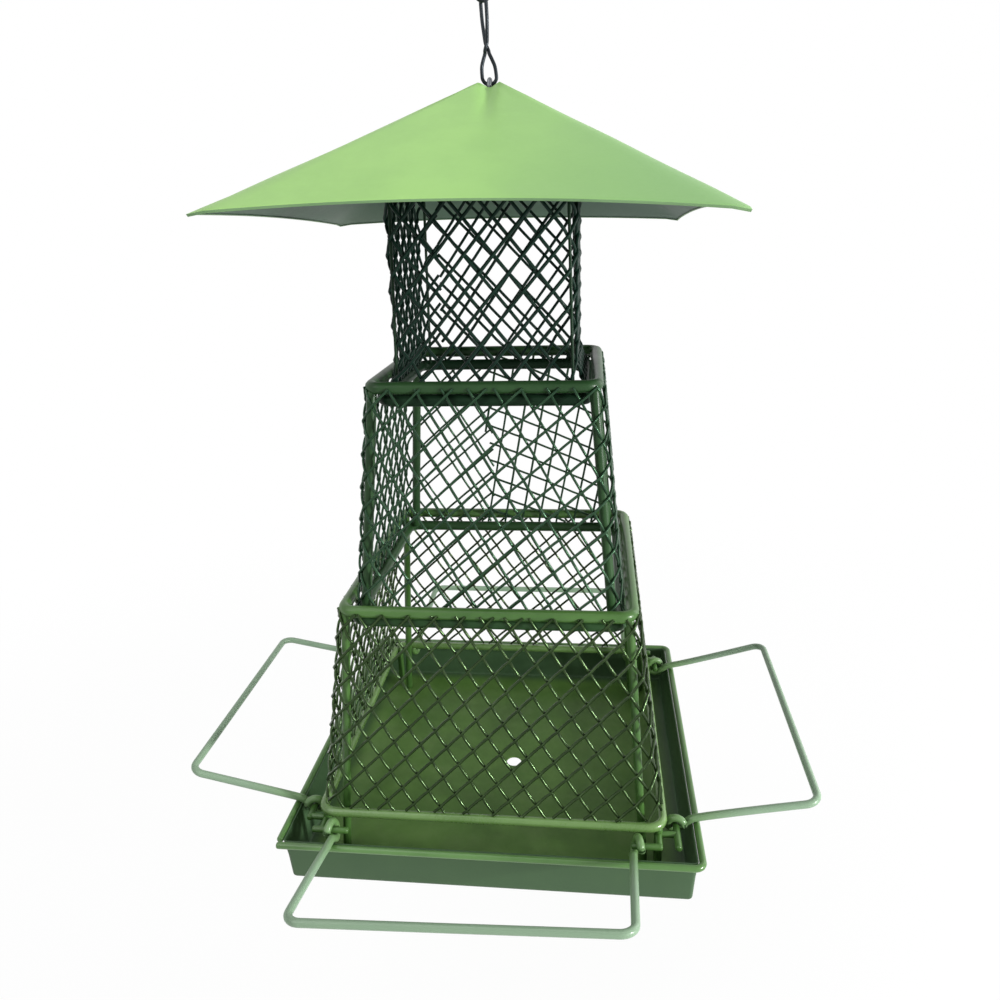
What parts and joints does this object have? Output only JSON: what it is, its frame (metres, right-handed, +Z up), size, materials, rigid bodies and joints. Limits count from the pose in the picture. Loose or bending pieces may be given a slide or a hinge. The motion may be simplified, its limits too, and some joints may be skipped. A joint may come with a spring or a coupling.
{
  "type": "hanging tray bird feeder",
  "caption": "Hanging bird feeder: telescoping square wire mesh tiers under a pyramid sheet roof, over a shallow tray with fold-up wire perches.",
  "frame": {"origin": "inside top of the hanging hook, where the feeder hangs", "axes": "+Z up along the hanging line, -Y toward the front, +X to the right as seen from the front"},
  "size_m": [0.3058, 0.3058, 0.4451],
  "materials": {
    "roof_paint": "satin light green paint on sheet steel",
    "frame_paint": "satin dark green paint on steel rod",
    "mesh_paint": "satin dark green paint on woven steel wire",
    "tray_paint": "satin mid green paint on sheet steel",
    "perch_paint": "satin grey green paint on bent steel wire",
    "chain_metal": "dark coated steel wire",
    "hanger_zinc": "dull zinc plated wire"
  },
  "bodies": {
    "hook": {"top_hook": "chain_metal"},
    "upper_link": {"chain_link_upper": "chain_metal"},
    "top_tier": {"hanger": "hanger_zinc", "chain_link_lower": "chain_metal", "top_tier_panel_back": "mesh_paint", "top_tier_panel_front": "mesh_paint", "top_tier_panel_left": "mesh_paint", "top_tier_panel_right": "mesh_paint", "top_tier_post_back_left": "frame_paint", "top_tier_post_back_right": "frame_paint", "top_tier_post_front_left": "frame_paint", "top_tier_post_front_right": "frame_paint", "top_tier_ring_base": "frame_paint", "top_tier_ring_top": "frame_paint"},
    "roof": {"roof": "roof_paint"},
    "middle_tier": {"middle_tier_panel_back": "mesh_paint", "middle_tier_panel_front": "mesh_paint", "middle_tier_panel_left": "mesh_paint", "middle_tier_panel_right": "mesh_paint", "middle_tier_post_back_left": "frame_paint", "middle_tier_post_back_right": "frame_paint", "middle_tier_post_front_left": "frame_paint", "middle_tier_post_front_right": "frame_paint", "middle_tier_ring_base": "frame_paint", "middle_tier_ring_top": "frame_paint"},
    "bottom_tier": {"bottom_tier_panel_back": "mesh_paint", "bottom_tier_panel_front": "mesh_paint", "bottom_tier_panel_left": "mesh_paint", "bottom_tier_panel_right": "mesh_paint", "bottom_tier_post_back_left": "frame_paint", "bottom_tier_post_back_right": "frame_paint", "bottom_tier_post_front_left": "frame_paint", "bottom_tier_post_front_right": "frame_paint", "bottom_tier_ring_base": "frame_paint", "bottom_tier_ring_top": "frame_paint", "leg_back_left": "frame_paint", "leg_back_right": "frame_paint", "leg_front_left": "frame_paint", "leg_front_right": "frame_paint", "tray_pan": "tray_paint", "tray_rim": "tray_paint"},
    "front_perch": {"perch_front": "perch_paint"},
    "right_perch": {"perch_right": "perch_paint"},
    "back_perch": {"perch_back": "perch_paint"},
    "left_perch": {"perch_left": "perch_paint"}
  },
  "joints": [
    {"name": "hook_swing", "type": "hinge", "parent": "hook", "child": "upper_link", "pos_m": [0, 0, -0.02575], "axis": [1, 0, 0], "range_deg": [-30, 30]},
    {"name": "link_swing", "type": "hinge", "parent": "upper_link", "child": "top_tier", "pos_m": [0, 0, -0.0564], "axis": [0, 1, 0], "range_deg": [-30, 30]},
    {"name": "roof_slide", "type": "slide", "parent": "top_tier", "child": "roof", "axis": [0, 0, 1], "range_m": [0, 0.03]},
    {"name": "middle_tier_slide", "type": "slide", "parent": "top_tier", "child": "middle_tier", "axis": [0, 0, 1], "range_m": [0, 0.088]},
    {"name": "bottom_tier_slide", "type": "slide", "parent": "middle_tier", "child": "bottom_tier", "axis": [0, 0, 1], "range_m": [0, 0.092]},
    {"name": "front_perch_fold", "type": "hinge", "parent": "bottom_tier", "child": "front_perch", "pos_m": [0, -0.088, -0.4189], "axis": [-1, 0, 0], "range_deg": [0, 85]},
    {"name": "right_perch_fold", "type": "hinge", "parent": "bottom_tier", "child": "right_perch", "pos_m": [0.088, 0, -0.4189], "axis": [0, -1, 0], "range_deg": [0, 85]},
    {"name": "back_perch_fold", "type": "hinge", "parent": "bottom_tier", "child": "back_perch", "pos_m": [0, 0.088, -0.4189], "axis": [1, 0, 0], "range_deg": [0, 85]},
    {"name": "left_perch_fold", "type": "hinge", "parent": "bottom_tier", "child": "left_perch", "pos_m": [-0.088, 0, -0.4189], "axis": [0, 1, 0], "range_deg": [0, 85]}
  ]
}
